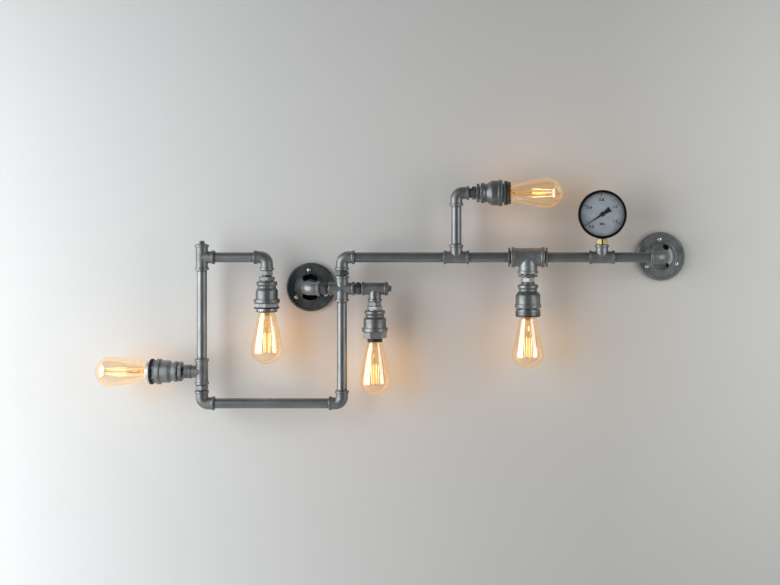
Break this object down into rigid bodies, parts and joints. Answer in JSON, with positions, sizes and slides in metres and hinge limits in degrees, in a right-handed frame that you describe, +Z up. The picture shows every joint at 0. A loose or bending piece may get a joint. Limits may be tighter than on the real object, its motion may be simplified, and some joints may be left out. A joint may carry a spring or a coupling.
{
  "type": "pipe wall light",
  "caption": "Wall light of screwed steel pipe and cast fittings on round flanges, with amber bulbs in reducer lamp holders and a dial pressure gauge.",
  "frame": {"origin": "centre of the left flange's back face, on the wall", "axes": "+Z up, +Y into the wall, +X to the right along the wall, seen from the front"},
  "size_m": [1.2521, 0.0955, 0.4908],
  "materials": {
    "malleable_iron": "dark sealed cast surface, satin",
    "flange_iron": "dark sealed cast surface, satin",
    "steel_pipe": "dark steel tube under clear lacquer",
    "steel_collar": "machined steel, darkened",
    "zinc_ring": "turned light metal, dull",
    "black_fibre": "matte black",
    "black_phenolic": "satin black",
    "contact_brass": "plain pressed brass",
    "cap_brass": "rolled thread, bright",
    "bulb_contact": "black glass insulator with a solder contact",
    "amber_glass": "clear blown glass with an amber tint",
    "filament_glow": "glass stem and coated filaments, lit",
    "black_enamel": "black enamel, satin",
    "dial_enamel": "pale blue-grey, matte",
    "pointer_black": "matte black",
    "gauge_brass": "machined brass, slightly tarnished",
    "window_glass": "clear flat glass"
  },
  "bodies": {
    "fixture": {"branch_tees": "malleable_iron", "flange_elbows": "malleable_iron", "flange_nipples": "steel_collar", "gauge_bezel": "black_enamel", "gauge_case": "black_enamel", "gauge_dial": "dial_enamel", "gauge_movement": "gauge_brass", "gauge_stem": "gauge_brass", "gauge_window": "window_glass", "hex_nipples": "steel_collar", "insulating_washers": "black_fibre", "junction_cross": "malleable_iron", "lamp_holder_1": "malleable_iron", "lamp_holder_2": "malleable_iron", "lamp_holder_3": "malleable_iron", "lamp_holder_4": "malleable_iron", "lamp_holder_5": "malleable_iron", "left_wall_flange": "flange_iron", "lock_rings": "zinc_ring", "loop_bottom_pipe": "steel_pipe", "loop_elbows": "malleable_iron", "loop_left_pipe": "steel_pipe", "loop_right_pipe": "steel_pipe", "loop_tees": "malleable_iron", "loop_top_pipe": "steel_pipe", "main_elbows": "malleable_iron", "main_left_pipe": "steel_pipe", "main_middle_pipe": "steel_pipe", "main_right_pipe": "steel_pipe", "pendant_tee": "malleable_iron", "reducing_bushings": "malleable_iron", "right_flange_pipe": "steel_pipe", "right_wall_flange": "flange_iron", "socket_collars": "steel_collar", "socket_contacts": "contact_brass", "socket_inserts": "black_phenolic", "square_head_plugs": "malleable_iron", "upper_arm_pipe": "steel_pipe"},
    "gauge_pointer": {"gauge_pointer": "pointer_black"},
    "sector_gear": {"sector_gear": "gauge_brass"},
    "bulb_1_centre": {"bulb_1_contact": "bulb_contact"},
    "bulb_1": {"bulb_1_cap": "cap_brass", "bulb_1_filaments": "filament_glow", "bulb_1_glass": "amber_glass"},
    "bulb_2_centre": {"bulb_2_contact": "bulb_contact"},
    "bulb_2": {"bulb_2_cap": "cap_brass", "bulb_2_filaments": "filament_glow", "bulb_2_glass": "amber_glass"},
    "bulb_3_centre": {"bulb_3_contact": "bulb_contact"},
    "bulb_3": {"bulb_3_cap": "cap_brass", "bulb_3_filaments": "filament_glow", "bulb_3_glass": "amber_glass"},
    "bulb_4_centre": {"bulb_4_contact": "bulb_contact"},
    "bulb_4": {"bulb_4_cap": "cap_brass", "bulb_4_filaments": "filament_glow", "bulb_4_glass": "amber_glass"},
    "bulb_5_centre": {"bulb_5_contact": "bulb_contact"},
    "bulb_5": {"bulb_5_cap": "cap_brass", "bulb_5_filaments": "filament_glow", "bulb_5_glass": "amber_glass"}
  },
  "joints": [
    {"name": "gauge_pointer_turn", "type": "hinge", "parent": "fixture", "child": "gauge_pointer", "pos_m": [0.6235, -0.063, 0.1567], "axis": [0, 1, 0], "range_deg": [0, 242.7], "stiffness_Nm_per_rad": 0.002, "springref_deg": -17.19},
    {"name": "sector_swing", "type": "hinge", "parent": "fixture", "child": "sector_gear", "pos_m": [0.6235, -0.063, 0.1387], "axis": [0, 1, 0], "range_deg": [-30.34, 0]},
    {"name": "bulb_1_advance", "type": "slide", "parent": "fixture", "child": "bulb_1_centre", "axis": [0, 0, -1], "range_m": [0, 0.0218]},
    {"name": "bulb_1_turn", "type": "hinge", "parent": "bulb_1_centre", "child": "bulb_1", "pos_m": [-0.0835, -0.063, -0.1], "axis": [0, 0, -1], "range_deg": [0, 2160]},
    {"name": "bulb_2_advance", "type": "slide", "parent": "fixture", "child": "bulb_2_centre", "axis": [-1, 0, 0], "range_m": [0, 0.0218]},
    {"name": "bulb_2_turn", "type": "hinge", "parent": "bulb_2_centre", "child": "bulb_2", "pos_m": [-0.3866, -0.063, -0.175], "axis": [-1, 0, 0], "range_deg": [0, 2160]},
    {"name": "bulb_3_advance", "type": "slide", "parent": "fixture", "child": "bulb_3_centre", "axis": [0, 0, -1], "range_m": [0, 0.0218]},
    {"name": "bulb_3_turn", "type": "hinge", "parent": "bulb_3_centre", "child": "bulb_3", "pos_m": [0.1445, -0.063, -0.1662], "axis": [0, 0, -1], "range_deg": [0, 2160]},
    {"name": "bulb_4_advance", "type": "slide", "parent": "fixture", "child": "bulb_4_centre", "axis": [1, 0, 0], "range_m": [0, 0.0218]},
    {"name": "bulb_4_turn", "type": "hinge", "parent": "bulb_4_centre", "child": "bulb_4", "pos_m": [0.4822, -0.063, 0.2017], "axis": [1, 0, 0], "range_deg": [0, 2160]},
    {"name": "bulb_5_advance", "type": "slide", "parent": "fixture", "child": "bulb_5_centre", "axis": [0, 0, -1], "range_m": [0, 0.0218]},
    {"name": "bulb_5_turn", "type": "hinge", "parent": "bulb_5_centre", "child": "bulb_5", "pos_m": [0.4675, -0.063, -0.11], "axis": [0, 0, -1], "range_deg": [0, 2160]}
  ],
  "couplings": [
    {"joint": "sector_swing", "follows": "gauge_pointer_turn", "ratio": -0.125},
    {"joint": "bulb_1_advance", "follows": "bulb_1_turn", "m_per_rad": 0.0005775},
    {"joint": "bulb_2_advance", "follows": "bulb_2_turn", "m_per_rad": 0.0005775},
    {"joint": "bulb_3_advance", "follows": "bulb_3_turn", "m_per_rad": 0.0005775},
    {"joint": "bulb_4_advance", "follows": "bulb_4_turn", "m_per_rad": 0.0005775},
    {"joint": "bulb_5_advance", "follows": "bulb_5_turn", "m_per_rad": 0.0005775}
  ]
}
